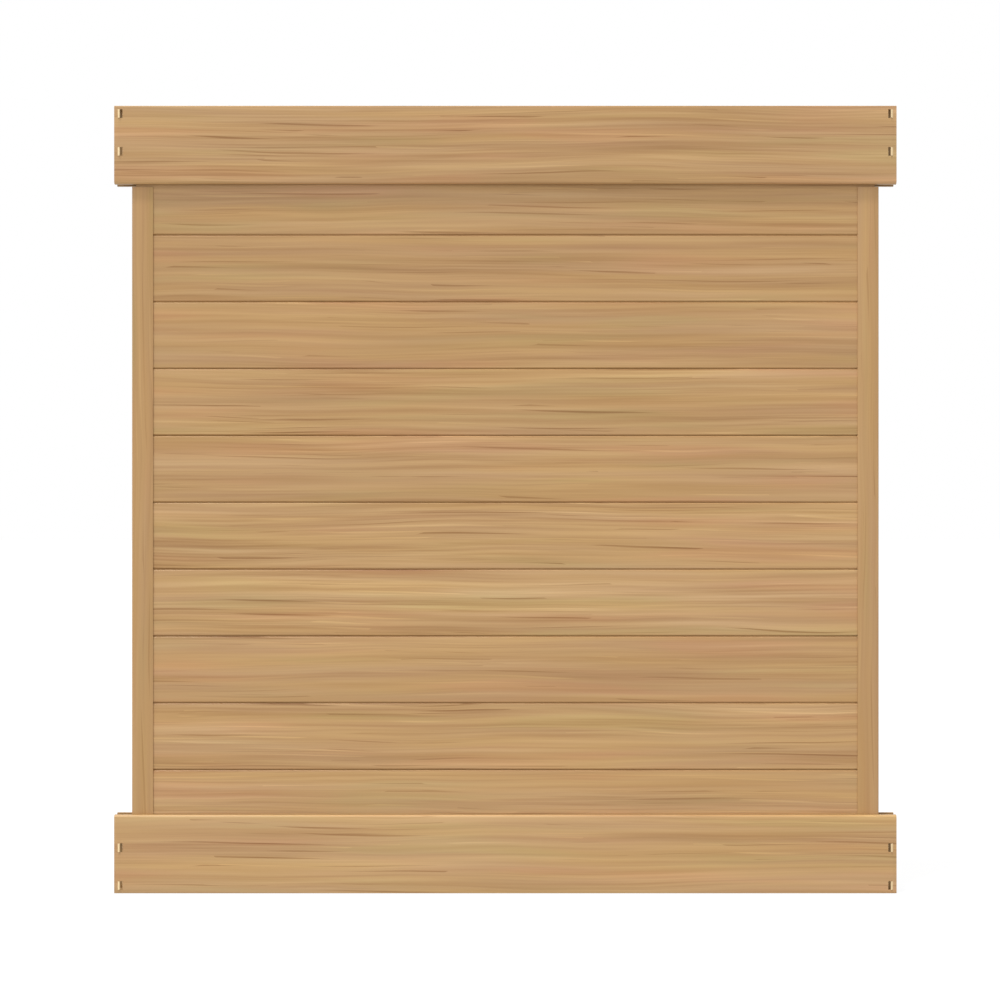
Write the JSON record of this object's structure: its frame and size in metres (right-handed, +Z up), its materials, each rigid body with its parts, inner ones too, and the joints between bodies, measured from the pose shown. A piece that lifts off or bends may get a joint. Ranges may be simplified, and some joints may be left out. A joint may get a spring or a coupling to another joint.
{
  "type": "vinyl privacy fence panel",
  "caption": "Wood-grained vinyl privacy fence panel: hollow tongue-and-groove boards lie across between wide pocket rails, with a U-channel over the board ends at each side.",
  "frame": {"origin": "under the middle of the bottom rail, on the plane that it rests on", "axes": "+X to the right along the rails, seen from the front; +Y from the front to the back; +Z up"},
  "size_m": [1.778, 0.0564, 1.7902],
  "materials": {
    "board_vinyl": "satin",
    "rail_vinyl": "satin",
    "channel_vinyl": "satin",
    "stiffener_metal": "satin"
  },
  "bodies": {
    "root": {"bottom_rail": "rail_vinyl", "top_rail": "rail_vinyl", "bottom_rail_stiffener": "stiffener_metal", "left_channel": "channel_vinyl", "right_channel": "channel_vinyl", "board_01": "board_vinyl", "board_02": "board_vinyl", "board_03": "board_vinyl", "board_04": "board_vinyl", "board_05": "board_vinyl", "board_06": "board_vinyl", "board_07": "board_vinyl", "board_08": "board_vinyl", "board_09": "board_vinyl", "board_10": "board_vinyl"}
  },
  "joints": []
}
